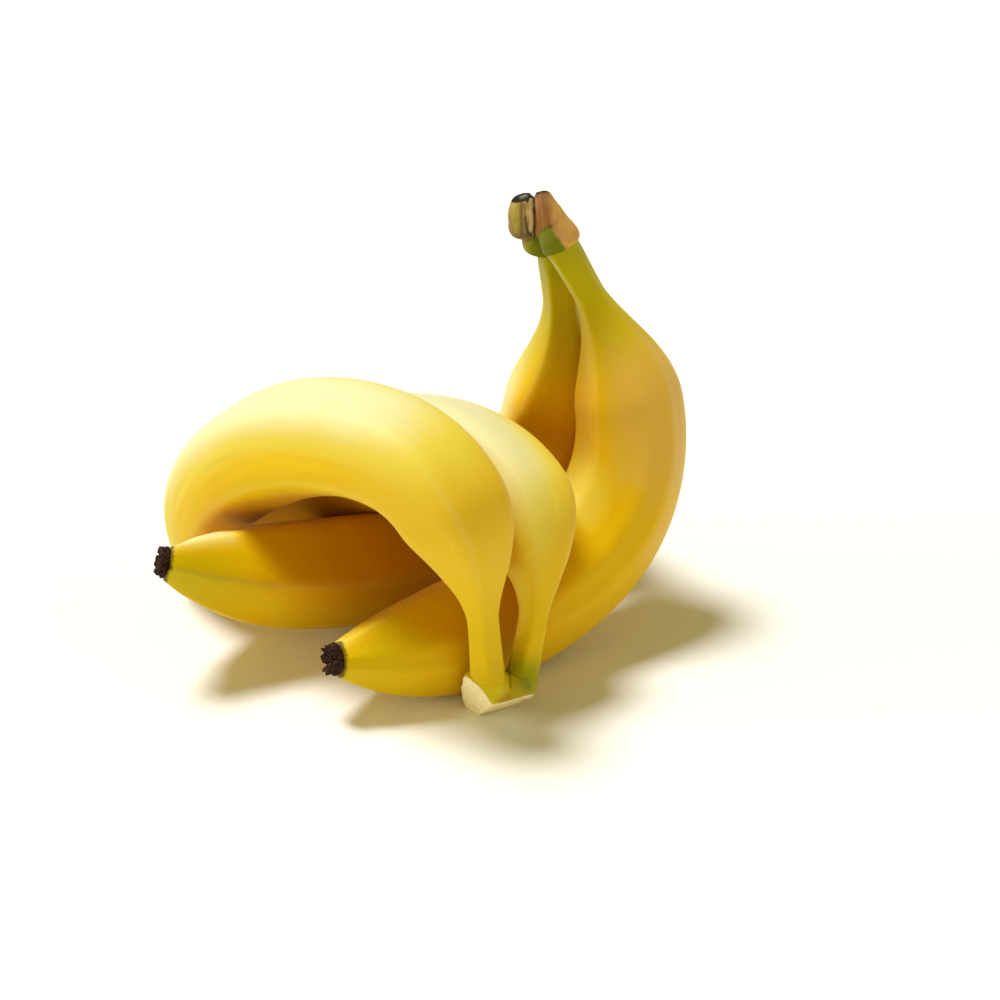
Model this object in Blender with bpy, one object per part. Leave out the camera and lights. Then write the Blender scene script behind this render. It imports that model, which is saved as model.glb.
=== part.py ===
"""A bunch of bananas: two joined pairs, the front pair arching over the rear pair.

Units are metres and +Z is up. The bunch lies on the plane z = 0, and the origin is under the middle of it.
The camera side is -Y. Each fruit is a five-sided body swept along a bent middle line. It has a neck at the
crown that it shares with its twin, and a dried flower remnant at its tip.
"""

import math

import bmesh
import bpy
import numpy as np
from mathutils import Matrix, Vector

# Clearance between pieces that touch
GAP = 0.0003

# Mesh density: sides round a fruit, rings along it, steps of its middle line, and a crown stub's sides and
# rings between two of its waypoints
SIDES = 25
RINGS = 42
LINE_STEPS = 400
STUB_SIDES = 20
STUB_RINGS = 2

# Half widths that all fruits share: how much the neck flares at the crown, and the snout at the tip
NECK_FLARE = 0.0009
FLARE_SPAN = 0.03
SNOUT_RADIUS = 0.0052

# Where along a fruit the even bend sets in, where the hook starts, and where the belly's last swell lies
ARC_START = 0.04
ARC_EASE = 0.12
HOOK_START = 0.72
SWELL_START = 0.15
SWELL_SPAN = 0.40

# How sharp the corners of a fruit's section are: along the body, how much more at the neck, and at the tip
BODY_SHARPNESS = 5.0
NECK_SHARPNESS = 3.0
NECK_SPAN = 0.30
TIP_SHARPNESS = 2.0
TIP_START = 0.75

# Each fruit, in metres and degrees. start is where the neck leaves the crown. The fruit bends in an upright
# plane: heading turns that plane about Z, lean tips it, and slope is the neck's slope in it. arc is the even
# bend of the whole fruit, elbow the bend gathered round elbow_at within elbow_span, and hook the bend of the
# last quarter. neck and belly are half widths. The neck ends at neck_end, the shoulder is full at shoulder, and
# the taper to the snout starts at taper. Places along the fruit run from 0 at the crown to 1 at the tip.
FRUITS = {
    "banana_front_near": dict(
        start=(-0.0038, -0.0304, 0.0169), heading=140.2, lean=2.2, slope=86.5, length=0.2139,
        arc=108.9, elbow=52.2, elbow_at=0.305, elbow_span=0.087, hook=24.2, ridge=66.1,
        neck=0.0047, belly=0.0181, shoulder_fill=0.92, neck_end=0.089, shoulder=0.276, taper=0.62, taper_power=2.3,
    ),
    "banana_front_far": dict(
        start=(0.0067, -0.0259, 0.0152), heading=134.5, lean=-23.8, slope=83.9, length=0.1966,
        arc=91.2, elbow=56.3, elbow_at=0.230, elbow_span=0.152, hook=7.5, ridge=57.4,
        neck=0.0043, belly=0.0184, shoulder_fill=0.92, neck_end=0.089, shoulder=0.285, taper=0.62, taper_power=2.4,
    ),
    "banana_rear_right": dict(
        start=(0.0190, 0.0533, 0.1245), heading=31.2, lean=17.5, slope=-66.8, length=0.2042,
        arc=82.6, elbow=47.4, elbow_at=0.407, elbow_span=0.164, hook=-6.7, ridge=48.8,
        neck=0.0048, belly=0.0184, shoulder_fill=0.88, neck_end=0.085, shoulder=0.284, taper=0.69, taper_power=2.5,
    ),
    "banana_rear_left": dict(
        start=(0.0175, 0.0647, 0.1178), heading=33.0, lean=-5.9, slope=-79.6, length=0.2303,
        arc=39.9, elbow=85.7, elbow_at=0.397, elbow_span=0.186, hook=3.3, ridge=11.3,
        neck=0.0053, belly=0.0175, shoulder_fill=1.00, neck_end=0.080, shoulder=0.268, taper=0.70, taper_power=2.5,
    ),
}

# The surface that the bunch lies on, in the layout's working frame: the fruits settle this far into it, and their
# soft skin flattens there
FLOOR = 0.0008
# The layout's working centre from the origin, so that the origin is under the middle of the bunch
BUNCH_SHIFT = Vector((0.0251, -0.0239, -FLOOR))


def clear_scene():
    for obj in list(bpy.data.objects):
        bpy.data.objects.remove(obj)


def skin_material(name, colour, roughness):
    """A Principled material in one colour, given as red, green and blue in linear light."""
    material = bpy.data.materials.new(name)
    material.use_nodes = True
    shader = material.node_tree.nodes["Principled BSDF"]
    shader.inputs["Base Color"].default_value = (*colour, 1.0)
    shader.inputs["Roughness"].default_value = roughness
    shader.inputs["Metallic"].default_value = 0.0
    return material


def smooth(x):
    """0 below 0, 1 above 1, and an even ease between."""
    x = np.clip(x, 0.0, 1.0)
    return x * x * (3.0 - 2.0 * x)


def bend(fruit, u):
    """Degrees that the middle line turns for each unit of u: the arc, a bell round the elbow, and the hook."""
    arc = fruit["arc"] * smooth((u - ARC_START) / ARC_EASE) / (1.0 - ARC_START - ARC_EASE / 2.0)
    span = fruit["elbow_span"]
    bell = np.exp(-(((u - fruit["elbow_at"]) / span) ** 2)) / (span * math.sqrt(math.pi))
    hook_span = 1.0 - HOOK_START
    hook = fruit["hook"] * smooth((u - HOOK_START) / hook_span) / (hook_span / 2.0)
    return arc + fruit["elbow"] * bell + hook


def middle_line(fruit, places):
    """Points of the middle line at the given places, with the directions along it and towards its inner side.

    In the fruit's own frame the line starts at the origin and lies in the XZ plane. Its slope starts at slope
    and falls by the sum of bend(), and the points are the sum of the steps along it.
    """
    u = np.linspace(0.0, 1.0, LINE_STEPS + 1)
    turn = bend(fruit, u)
    turned = np.concatenate([[0.0], np.cumsum((turn[1:] + turn[:-1]) / 2.0)]) / LINE_STEPS
    slope = np.radians(fruit["slope"] - turned)
    along = np.stack([np.cos(slope), np.zeros_like(u), np.sin(slope)], axis=1)
    steps = (along[1:] + along[:-1]) / 2.0 * fruit["length"] / LINE_STEPS
    points = np.vstack([np.zeros(3), np.cumsum(steps, axis=0)])
    at_x, at_z = (np.interp(places, u, points[:, axis]) for axis in (0, 2))
    slope_at = np.interp(places, u, slope)
    zero = np.zeros_like(places)
    centre = np.stack([at_x, zero, at_z], axis=1)
    forward = np.stack([np.cos(slope_at), zero, np.sin(slope_at)], axis=1)
    inward = np.stack([np.sin(slope_at), zero, -np.cos(slope_at)], axis=1)
    return centre, forward, inward


def half_width(fruit, u):
    """The neck's half width, rising to the belly's at the shoulder, with the taper to the snout taken off."""
    fill = fruit["shoulder_fill"]
    rise = smooth((u - fruit["neck_end"]) / (fruit["shoulder"] - fruit["neck_end"]))
    width = fruit["neck"] + (fruit["belly"] * fill - fruit["neck"]) * rise
    width = width + fruit["belly"] * (1.0 - fill) * smooth((u - SWELL_START) / SWELL_SPAN)
    fall = np.clip((u - fruit["taper"]) / (1.0 - fruit["taper"]), 0.0, 1.0) ** fruit["taper_power"]
    width = width - (fruit["belly"] - SNOUT_RADIUS) * fall
    return width + NECK_FLARE * np.exp(-u / FLARE_SPAN)


def five_sided(angle, sharpness, ridge):
    """Distance from the middle to a rounded five-sided outline of about unit size, with one corner at ridge.

    Each flat side adds its cosine to the power of sharpness, so a higher sharpness gives crisper corners.
    """
    flats = ridge + math.pi / 5.0 + np.arange(5) * 2.0 * math.pi / 5.0
    facing = np.maximum(np.cos(angle[..., None] - flats), 0.0)
    outline = (facing ** sharpness[..., None]).sum(axis=-1) ** (-1.0 / sharpness)
    return outline / outline.mean(axis=-1, keepdims=True)


def tube_faces(rings, sides):
    """Quads between neighbouring rings, and a fan of triangles on each end, whose middle points come last."""
    faces = []
    for ring in range(rings - 1):
        for side in range(sides):
            here, beside = ring * sides + side, ring * sides + (side + 1) % sides
            faces.append((here, beside, beside + sides, here + sides))
    first_middle, last_middle = rings * sides, rings * sides + 1
    last_ring = (rings - 1) * sides
    for side in range(sides):
        beside = (side + 1) % sides
        faces.append((first_middle, beside, side))
        faces.append((last_middle, last_ring + side, last_ring + beside))
    return faces


def tube_object(name, rings, ends, material):
    """A closed tube through rings of points, of shape (rings, sides, 3), with its two end middles."""
    count, sides, _ = rings.shape
    points = np.vstack([rings.reshape(-1, 3), np.asarray(ends)])
    mesh = bpy.data.meshes.new(name)
    mesh.from_pydata(points.tolist(), [], tube_faces(count, sides))
    mesh.materials.append(material)
    obj = bpy.data.objects.new(name, mesh)
    bpy.context.scene.collection.objects.link(obj)
    return obj


def face_outwards(mesh):
    """Turn all faces outwards and shade the mesh smooth."""
    work = bmesh.new()
    work.from_mesh(mesh)
    bmesh.ops.recalc_face_normals(work, faces=work.faces)
    work.to_mesh(mesh)
    work.free()
    mesh.shade_smooth()


def press_flat(obj):
    """Move the points below the surface z = 0 up onto it, as soft skin settles where it bears."""
    to_world = obj.matrix_world.copy()
    to_local = to_world.inverted()
    for vertex in obj.data.vertices:
        world = to_world @ vertex.co
        if world.z < 0.0:
            world.z = 0.0
            vertex.co = to_local @ world


def fruit_frame(fruit):
    """Where the fruit's own frame lies: at its neck, with its bending plane turned and leaned."""
    turn = Matrix.Rotation(math.radians(fruit["heading"]), 4, "Z")
    lean = Matrix.Rotation(math.radians(-fruit["lean"]), 4, "X")
    return Matrix.Translation(fruit["start"]) @ turn @ lean


def frame_of(x_axis, y_axis, z_axis, origin):
    """The matrix of a frame, from its axes and its origin."""
    columns = [Vector((*axis, 0.0)) for axis in (x_axis, y_axis, z_axis)]
    return Matrix((*columns, Vector((*origin, 1.0)))).transposed()


def make_fruit(name, fruit, bunch, material):
    """One fruit: the five-sided outline at each place, carried along the middle line."""
    u = np.linspace(0.0, 1.0, RINGS)
    centre, forward, inward = middle_line(fruit, u)
    sideways = np.cross(forward, inward)
    ridge = math.radians(fruit["ridge"])
    angle = ridge + np.arange(SIDES) * 2.0 * math.pi / SIDES
    angle = np.broadcast_to(angle, (RINGS, SIDES))
    sharpness = BODY_SHARPNESS + NECK_SHARPNESS * (1.0 - smooth(u / NECK_SPAN))
    sharpness = sharpness + TIP_SHARPNESS * smooth((u - TIP_START) / (1.0 - TIP_START))
    sharpness = np.broadcast_to(sharpness[:, None], (RINGS, SIDES))
    radius = five_sided(angle, sharpness, ridge) * half_width(fruit, u)[:, None]
    rings = (
        centre[:, None]
        + (radius * np.cos(angle))[..., None] * inward[:, None]
        + (radius * np.sin(angle))[..., None] * sideways[:, None]
    )
    obj = tube_object(name, rings, [centre[0], centre[-1]], material)
    obj.parent = bunch
    frame = fruit_frame(fruit)
    obj.location = frame.translation
    obj.rotation_euler = frame.to_euler()
    bpy.context.view_layer.update()
    press_flat(obj)
    face_outwards(obj.data)
    return obj


# Each crown, as two stubs that carry on from its fruits' necks and have grown together. A stub leaves its neck
# square to it, is collar wide after COLLAR_RUN, and then follows its waypoints: x, y, z and half width, in the
# same frame as the fruits' starts. webs are balls of growth that fill the crotch, as x, y, z and half width. Each
# cut is a point on a knife cut and the way its face looks.
CROWNS = {
    "crown_front": dict(
        stubs={
            "banana_front_near": dict(
                collar=0.0059,
                waypoints=(
                    (-0.0046, -0.0305, 0.0115, 0.0065),
                    (-0.0062, -0.0297, 0.0078, 0.0068),
                    (-0.0080, -0.0289, 0.0013, 0.0068),
                    (-0.0096, -0.0283, -0.0067, 0.0064),
                ),
            ),
            "banana_front_far": dict(
                collar=0.0053,
                waypoints=(
                    (0.0055, -0.0270, 0.0100, 0.0058),
                    (0.0044, -0.0273, 0.0064, 0.0059),
                    (0.0032, -0.0275, 0.0004, 0.0059),
                    (0.0022, -0.0276, -0.0066, 0.0056),
                ),
            ),
        },
        webs=((0.0003, -0.0284, 0.0079, 0.0056), (-0.0020, -0.0284, 0.0019, 0.0056)),
        cuts=(
            ((-0.0033, -0.0354, 0.0089), (-0.715, -0.607, -0.346)),
            ((-0.0033, -0.0354, 0.0089), (0.300, -0.595, -0.746)),
            ((0.0, 0.0, FLOOR), (0.0, 0.0, -1.0)),
        ),
    ),
    "crown_rear": dict(
        stubs={
            "banana_rear_right": dict(
                collar=0.0067,
                waypoints=(
                    (0.0168, 0.0534, 0.1308, 0.0060),
                    (0.0150, 0.0535, 0.1358, 0.0043),
                    (0.0135, 0.0535, 0.1403, 0.0030),
                    (0.0126, 0.0535, 0.1431, 0.0024),
                ),
            ),
            "banana_rear_left": dict(
                collar=0.0062,
                waypoints=(
                    (0.0132, 0.0640, 0.1238, 0.0054),
                    (0.0088, 0.0619, 0.1262, 0.0052),
                    (0.0066, 0.0610, 0.1295, 0.0044),
                    (0.0066, 0.0602, 0.1328, 0.0040),
                    (0.0072, 0.0596, 0.1358, 0.0032),
                    (0.0077, 0.0593, 0.1379, 0.0025),
                ),
            ),
        },
        webs=((0.0128, 0.0574, 0.1280, 0.0050), (0.0110, 0.0566, 0.1337, 0.0040), (0.0104, 0.0562, 0.1378, 0.0024)),
        cuts=(),
    ),
}
COLLAR_RUN = 0.0012
# Crown edges that turn more than this look sharp
CROWN_EDGE = math.radians(35.0)

# A flower remnant: a dry ring with torn points round a hollow, with half widths and heights along its axis
REMNANT_POINTS = 9
REMNANT_RINGS = ((0.0, 0.0047), (0.0008, 0.0050), (0.0020, 0.0048))
REMNANT_POINT_HEIGHT = 0.0038
REMNANT_NOTCH_HEIGHT = 0.0028
REMNANT_RIM = 0.0043
REMNANT_HOLLOW = ((0.0022, 0.0025), (0.0026, 0.0))
REMNANT_UNEVEN = 0.0005


def through(points, between):
    """A smooth curve through rows of numbers, with so many rows between two of them.

    Each stretch is a Catmull-Rom cubic: it passes its two ends in the direction from the point before to the
    point after.
    """
    padded = np.vstack([2 * points[0] - points[1], points, 2 * points[-1] - points[-2]])
    rows = []
    for k in range(len(points) - 1):
        before, first, second, after = padded[k:k + 4]
        t = (np.arange(between) / between)[:, None]
        rows.append(
            first
            + t * (second - before) / 2
            + t**2 * (before - 2.5 * first + 2 * second - after / 2)
            + t**3 * (1.5 * first - before / 2 - 1.5 * second + after / 2)
        )
    return np.vstack([*rows, points[-1:]])


def circles(path, forward, widths, across, sides):
    """Circles of the given half widths round a path, each square to forward, numbered from the direction across."""
    forward = forward / np.linalg.norm(forward, axis=1)[:, None]
    first = across - (forward @ across)[:, None] * forward
    first /= np.linalg.norm(first, axis=1)[:, None]
    second = np.cross(forward, first)
    angle = (np.arange(sides) * 2.0 * math.pi / sides)[:, None]
    circle = np.cos(angle) * first[:, None] + np.sin(angle) * second[:, None]
    return path[:, None] + widths[:, None, None] * circle


def make_stub(name, fruit, collar, waypoints, across, material):
    """A stub of a crown: a tapered tube that leaves square out of the fruit's neck and follows its waypoints."""
    _, forward, _ = middle_line(fruit, np.zeros(1))
    back = -np.array(fruit_frame(fruit).to_3x3() @ Vector(forward[0]))
    start = np.array(fruit["start"]) + back * GAP
    neck = fruit["neck"] + NECK_FLARE
    route = np.vstack([[*start, neck], [*(start + back * COLLAR_RUN), collar], waypoints])
    route = through(route, STUB_RINGS)
    path, widths = route[:, :3], route[:, 3]
    forward = np.gradient(path, axis=0)
    forward[:STUB_RINGS + 1] = back
    return tube_object(name, circles(path, forward, widths, across, STUB_SIDES), [path[0], path[-1]], material)


def make_web(name, web, material):
    """The growth between two stubs: a ball with few faces, given as x, y, z and half width."""
    mesh = bpy.data.meshes.new(name)
    work = bmesh.new()
    bmesh.ops.create_icosphere(work, subdivisions=2, radius=web[3], matrix=Matrix.Translation(web[:3]))
    work.to_mesh(mesh)
    work.free()
    mesh.materials.append(material)
    obj = bpy.data.objects.new(name, mesh)
    bpy.context.scene.collection.objects.link(obj)
    return obj


def grow_together(base, others):
    """Join the other closed bodies into base, and remove them."""
    for other in others:
        face_outwards(other.data)
    face_outwards(base.data)
    for other in others:
        union = base.modifiers.new(other.name, "BOOLEAN")
        union.operation = "UNION"
        union.object = other
    bpy.context.view_layer.update()
    graph = bpy.context.evaluated_depsgraph_get()
    joined = bpy.data.meshes.new_from_object(base.evaluated_get(graph))
    base.modifiers.clear()
    base.data = joined
    for other in others:
        bpy.data.objects.remove(other)


def cut_away(mesh, point, outward):
    """Cut off what lies on the outward side of a plane, and close the cut with a flat face."""
    work = bmesh.new()
    work.from_mesh(mesh)
    geometry = work.verts[:] + work.edges[:] + work.faces[:]
    cut = bmesh.ops.bisect_plane(work, geom=geometry, plane_co=point, plane_no=outward, clear_outer=True)
    edges = [item for item in cut["geom_cut"] if isinstance(item, bmesh.types.BMEdge)]
    bmesh.ops.holes_fill(work, edges=edges)
    work.to_mesh(mesh)
    work.free()


def make_crown(name, crown, bunch, material):
    """A crown: its stubs and webs grown together, then cut. Its frame is at the middle of its necks, with +X
    from the first neck to the second and +Z away from the fruits."""
    starts = [np.array(FRUITS[fruit]["start"]) for fruit in crown["stubs"]]
    ends = [np.array(stub["waypoints"][-1][:3]) for stub in crown["stubs"].values()]
    across = (starts[1] - starts[0]) / np.linalg.norm(starts[1] - starts[0])
    middle = (starts[0] + starts[1]) / 2.0
    away = (ends[0] + ends[1]) / 2.0 - middle
    away = away - (away @ across) * across
    away /= np.linalg.norm(away)
    bodies = [
        make_stub(name, FRUITS[fruit], stub["collar"], stub["waypoints"], across, material)
        for fruit, stub in crown["stubs"].items()
    ]
    bodies += [make_web(name, web, material) for web in crown["webs"]]
    body = bodies[0]
    grow_together(body, bodies[1:])
    for point, outward in crown["cuts"]:
        cut_away(body.data, point, outward)
    frame = frame_of(across, np.cross(away, across), away, middle)
    body.data.transform(frame.inverted())
    body.name = name
    body.data.name = name
    body.parent = bunch
    body.location = frame.translation
    body.rotation_euler = frame.to_euler()
    face_outwards(body.data)
    body.data.set_sharp_from_angle(angle=CROWN_EDGE)
    return body


def make_remnant(name, fruit_object, fruit, material):
    """The dried flower remnant at a fruit's tip: rings round its own +Z axis, the last one torn to points."""
    sides = 2 * REMNANT_POINTS
    angle = np.arange(sides) * 2.0 * math.pi / sides
    uneven = REMNANT_UNEVEN * np.sin(3.0 * angle + 1.0) * np.cos(5.0 * angle)
    rings = []
    for height, width in REMNANT_RINGS:
        rings.append((width + 0.5 * uneven, np.full(sides, height)))
    torn = np.where(np.arange(sides) % 2 == 0, REMNANT_POINT_HEIGHT, REMNANT_NOTCH_HEIGHT)
    rings.append((REMNANT_RIM + uneven, torn + uneven))
    hollow_height, hollow_width = REMNANT_HOLLOW[0]
    rings.append((np.full(sides, hollow_width), np.full(sides, hollow_height)))
    points = np.array([
        np.stack([width * np.cos(angle), width * np.sin(angle), height], axis=1) for width, height in rings
    ])
    ends = [(0.0, 0.0, 0.0), (0.0, 0.0, REMNANT_HOLLOW[1][0])]
    obj = tube_object(name, points, ends, material)
    face_outwards(obj.data)
    centre, forward, inward = middle_line(fruit, np.ones(1))
    frame = frame_of(np.cross(inward[0], forward[0]), inward[0], forward[0], centre[0] + forward[0] * GAP)
    obj.parent = fruit_object
    obj.location = frame.translation
    obj.rotation_euler = frame.to_euler()
    bpy.context.view_layer.update()
    press_flat(obj)
    return obj


clear_scene()

bunch = bpy.data.objects.new("bunch", None)
bunch.location = BUNCH_SHIFT
bpy.context.scene.collection.objects.link(bunch)

ripe_skin = skin_material("ripe_skin", (0.70, 0.42, 0.03), 0.42)
fresh_crown = skin_material("fresh_crown", (0.45, 0.42, 0.02), 0.50)
dried_crown = skin_material("dried_crown", (0.40, 0.22, 0.06), 0.75)
dried_flower = skin_material("dried_flower", (0.03, 0.015, 0.008), 0.90)

fruit_objects = {name: make_fruit(name, fruit, bunch, ripe_skin) for name, fruit in FRUITS.items()}
make_crown("crown_front", CROWNS["crown_front"], bunch, fresh_crown)
make_crown("crown_rear", CROWNS["crown_rear"], bunch, dried_crown)
for name, fruit in FRUITS.items():
    make_remnant(name.replace("banana", "blossom_end"), fruit_objects[name], fruit, dried_flower)
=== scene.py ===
"""A bunch of bananas: a joined pair that arches over another joined pair, in daylight on a pale table.

All lengths are in metres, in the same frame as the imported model: +Z is up, and the bunch lies on z = 0.
"""

import math

import bpy
import numpy as np
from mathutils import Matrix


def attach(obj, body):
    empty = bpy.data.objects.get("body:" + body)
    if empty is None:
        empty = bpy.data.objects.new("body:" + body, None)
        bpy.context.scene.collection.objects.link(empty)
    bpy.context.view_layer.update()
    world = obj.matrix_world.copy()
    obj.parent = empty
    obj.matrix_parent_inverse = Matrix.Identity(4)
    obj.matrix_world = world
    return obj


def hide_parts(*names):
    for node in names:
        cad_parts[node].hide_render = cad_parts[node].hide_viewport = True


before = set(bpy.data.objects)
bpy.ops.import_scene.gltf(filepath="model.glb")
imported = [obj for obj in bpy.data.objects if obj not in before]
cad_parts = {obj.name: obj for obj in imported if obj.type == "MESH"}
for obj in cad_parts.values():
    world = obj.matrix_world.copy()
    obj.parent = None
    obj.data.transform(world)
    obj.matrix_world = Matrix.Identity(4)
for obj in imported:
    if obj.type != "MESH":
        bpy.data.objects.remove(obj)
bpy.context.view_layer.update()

# Where the group stands in the model's frame. Places in the tables below are measured from this point.
BUNCH_AT = np.array([0.0251, -0.0239, -0.0008])


# The table and the light
# A plain pale table top, a high soft lamp behind the left shoulder of the group, weaker ones low on the
# left, on the right and in front, and warm light from all round. The camera looks down from the front.
LOOK_DOWN = math.radians(28.0)
CAMERA_DISTANCE = 0.900
CAMERA_AIM = np.array([0.0, 0.0, 0.06202]) + BUNCH_AT
CAMERA_LENS = 105.31
TABLE_HALF = 4.0
TABLE_DROP = 5e-5

view = np.array([0.0, math.cos(LOOK_DOWN), -math.sin(LOOK_DOWN)])
camera = bpy.data.objects.new("camera", bpy.data.cameras.new("camera"))
camera.data.lens = CAMERA_LENS
camera.data.clip_start = 0.01
camera.location = CAMERA_AIM - CAMERA_DISTANCE * view
camera.rotation_euler = (math.pi / 2.0 - LOOK_DOWN, 0.0, 0.0)
bpy.context.scene.collection.objects.link(camera)
bpy.context.scene.camera = camera
bpy.context.scene.view_settings.view_transform = "Standard"


def lamp(name, strength, colour, towards, softness):
    """A far lamp. Its light travels opposite to towards, and softness is its angle in the sky, in degrees."""
    light = bpy.data.lights.new(name, "SUN")
    light.energy = strength
    light.color = colour
    light.angle = math.radians(softness)
    obj = bpy.data.objects.new(name, light)
    away = np.array(towards) / np.linalg.norm(towards)
    obj.rotation_euler = (math.acos(away[2]), 0.0, math.atan2(away[1], away[0]) + math.pi / 2.0)
    bpy.context.scene.collection.objects.link(obj)


HIGH_LAMP = np.array([-0.315, 0.204, 0.927])
SIDE_LAMP = np.array([-0.984, -0.098, 0.148])
lamp("lamp_high_left", 3.3, (1.0, 1.0, 0.98), HIGH_LAMP, 20.0)
lamp("lamp_side_left", 1.3, (1.0, 0.95, 0.72), SIDE_LAMP, 40.0)
lamp("lamp_front", 0.4, (1.0, 0.84, 0.36), (0.05, -1.0, 0.10), 60.0)
lamp("lamp_right", 0.55, (1.0, 0.97, 0.75), (0.88, -0.36, 0.26), 60.0)

world = bpy.data.worlds.new("room")
world.use_nodes = True
world.node_tree.nodes["Background"].inputs["Color"].default_value = (1.0, 0.86, 0.32, 1.0)
world.node_tree.nodes["Background"].inputs["Strength"].default_value = 0.27
bpy.context.scene.world = world

table_mesh = bpy.data.meshes.new("table")
corners = [(x * TABLE_HALF, y * TABLE_HALF, -TABLE_DROP) for x, y in ((-1, -1), (1, -1), (1, 1), (-1, 1))]
table_mesh.from_pydata(corners, [], [(0, 1, 2, 3)])
table = bpy.data.objects.new("table", table_mesh)
bpy.context.scene.collection.objects.link(table)
table_top = bpy.data.materials.new("table_top")
table_top.use_nodes = True
table_top.node_tree.nodes["Principled BSDF"].inputs["Base Color"].default_value = (0.89, 0.89, 0.89, 1.0)
table_top.node_tree.nodes["Principled BSDF"].inputs["Roughness"].default_value = 0.9
table_mesh.materials.append(table_top)


# The four fruits
# Each is a ripe dessert banana: a waxy five-sided peel over soft flesh, with a neck that grows out of the
# crown and a snout that carries the dried flower. The fruits of a pair grew side by side from one crown.
RINGS = 250
SIDES = 180
LINE_STEPS = 400
# How much a neck widens where it meets the crown, over what share of the length, and a snout's half width
NECK_FLARE = 0.0009
FLARE_SPAN = 0.03
SNOUT_RADIUS = 0.0052
# How deep a peel stays under a crown's cut faces
CUT_COVER = 0.0003
# Light is worked out on a coarser grid, just off the skin. Each fruit shades as a row of balls a little
# slimmer than itself, and a stretch of its own length on either side of a point is left out.
SHELTER_ROWS = 64
SHELTER_SIDES = 40
LIFT_OFF = 0.0005
SHADE_BALLS = 34
BALL_SHARE = 0.97
OWN_STRETCH = 0.16
# Which side a slanted end face leans to, and where a worn corner is, as angles from a fruit's hollow side
END_FACE_SIDE = math.radians(-67.0)
WORN_CORNER = math.radians(264.8)

# Each fruit has its start, its heading, lean and first slope in degrees, and its length. Then come the
# degrees it turns by in its arc, its elbow and its hook, with the elbow's place and span, and the angle of
# its first corner. Then come its half widths and the places where neck, shoulder and taper are.
FRUITS = {
    "banana_front_near": dict(
        start=(-0.0038, -0.0304, 0.0169), heading=140.2, lean=2.2, slope=86.5, length=0.2139,
        arc=108.9, elbow=52.2, elbow_at=0.305, elbow_span=0.087, hook=24.2, ridge=66.1,
        neck=0.0047, belly=0.0181, shoulder_fill=0.92, neck_end=0.089,
        shoulder=0.276, taper=0.62, taper_power=2.3,
    ),
    "banana_front_far": dict(
        start=(0.0067, -0.0259, 0.0146), heading=134.5, lean=-23.8, slope=83.9, length=0.1966,
        arc=91.2, elbow=56.3, elbow_at=0.230, elbow_span=0.152, hook=7.5, ridge=57.4,
        neck=0.0043, belly=0.0190, shoulder_fill=0.92, neck_end=0.089,
        shoulder=0.285, taper=0.62, taper_power=2.4,
    ),
    "banana_rear_right": dict(
        start=(0.0190, 0.0533, 0.1245), heading=31.2, lean=17.5, slope=-66.8, length=0.2042,
        arc=82.6, elbow=47.4, elbow_at=0.407, elbow_span=0.164, hook=-6.7, ridge=48.8,
        neck=0.0048, belly=0.0184, shoulder_fill=0.88, neck_end=0.085,
        shoulder=0.284, taper=0.69, taper_power=2.5,
    ),
    "banana_rear_left": dict(
        start=(0.0182, 0.0647, 0.1178), heading=33.0, lean=-5.9, slope=-79.6, length=0.2303,
        arc=39.9, elbow=85.7, elbow_at=0.397, elbow_span=0.186, hook=3.3, ridge=11.3,
        neck=0.0058, belly=0.0178, shoulder_fill=1.00, neck_end=0.078,
        shoulder=0.268, taper=0.70, taper_power=2.5,
    ),
}
# The two knife cuts that freed the front pair from the hand: a point on each, and which way its face looks
KNIFE_CUTS = (
    ((-0.0033, -0.0354, 0.0089), (-0.715, -0.607, -0.346)),
    ((-0.0033, -0.0354, 0.0089), (0.300, -0.595, -0.746)),
)
# How each peel looks: how crisp its corners are, how far in degrees they are turned at the neck and at the
# tip, whether one corner is worn soft, how far its end face leans to END_FACE_SIDE, how far it runs on inside
# its crown as a share of its length, and how green and golden it is, how readily it takes the painted
# highlight (pale) and how much tan, partly a painted soft sheen, it has (tan). In the last two, values below
# 0 make it less so.
PEELS = {
    "banana_front_near": dict(
        crisp=6.6, turned=(0.0, 0.0), softened=False, slant=0.0, root=0.004, neck_green=0.15,
        collar_green=0.15, tip_green=0.3, golden=0.0, pale=0.0, tan=0.2,
    ),
    "banana_front_far": dict(
        crisp=6.6, turned=(0.0, 12.0), softened=False, slant=0.0, root=0.004, neck_green=0.15,
        collar_green=0.9, tip_green=0.3, golden=-0.10, pale=0.16, tan=0.2,
    ),
    "banana_rear_right": dict(
        crisp=9.0, turned=(0.0, 0.0), softened=True, slant=0.0, root=0.006, neck_green=1.0,
        collar_green=0.5, tip_green=0.35, golden=0.14, pale=-0.1, tan=0.7,
    ),
    "banana_rear_left": dict(
        crisp=9.5, turned=(-39.0, -15.0), softened=False, slant=0.5, root=0.015, neck_green=1.0,
        collar_green=0.7, tip_green=0.6, golden=0.16, pale=0.08, tan=0.0,
    ),
}


def smooth(x):
    """0 below 0, 1 above 1, and an even ease between: 3x^2 - 2x^3."""
    x = np.clip(x, 0.0, 1.0)
    return x * x * (3.0 - 2.0 * x)


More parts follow.
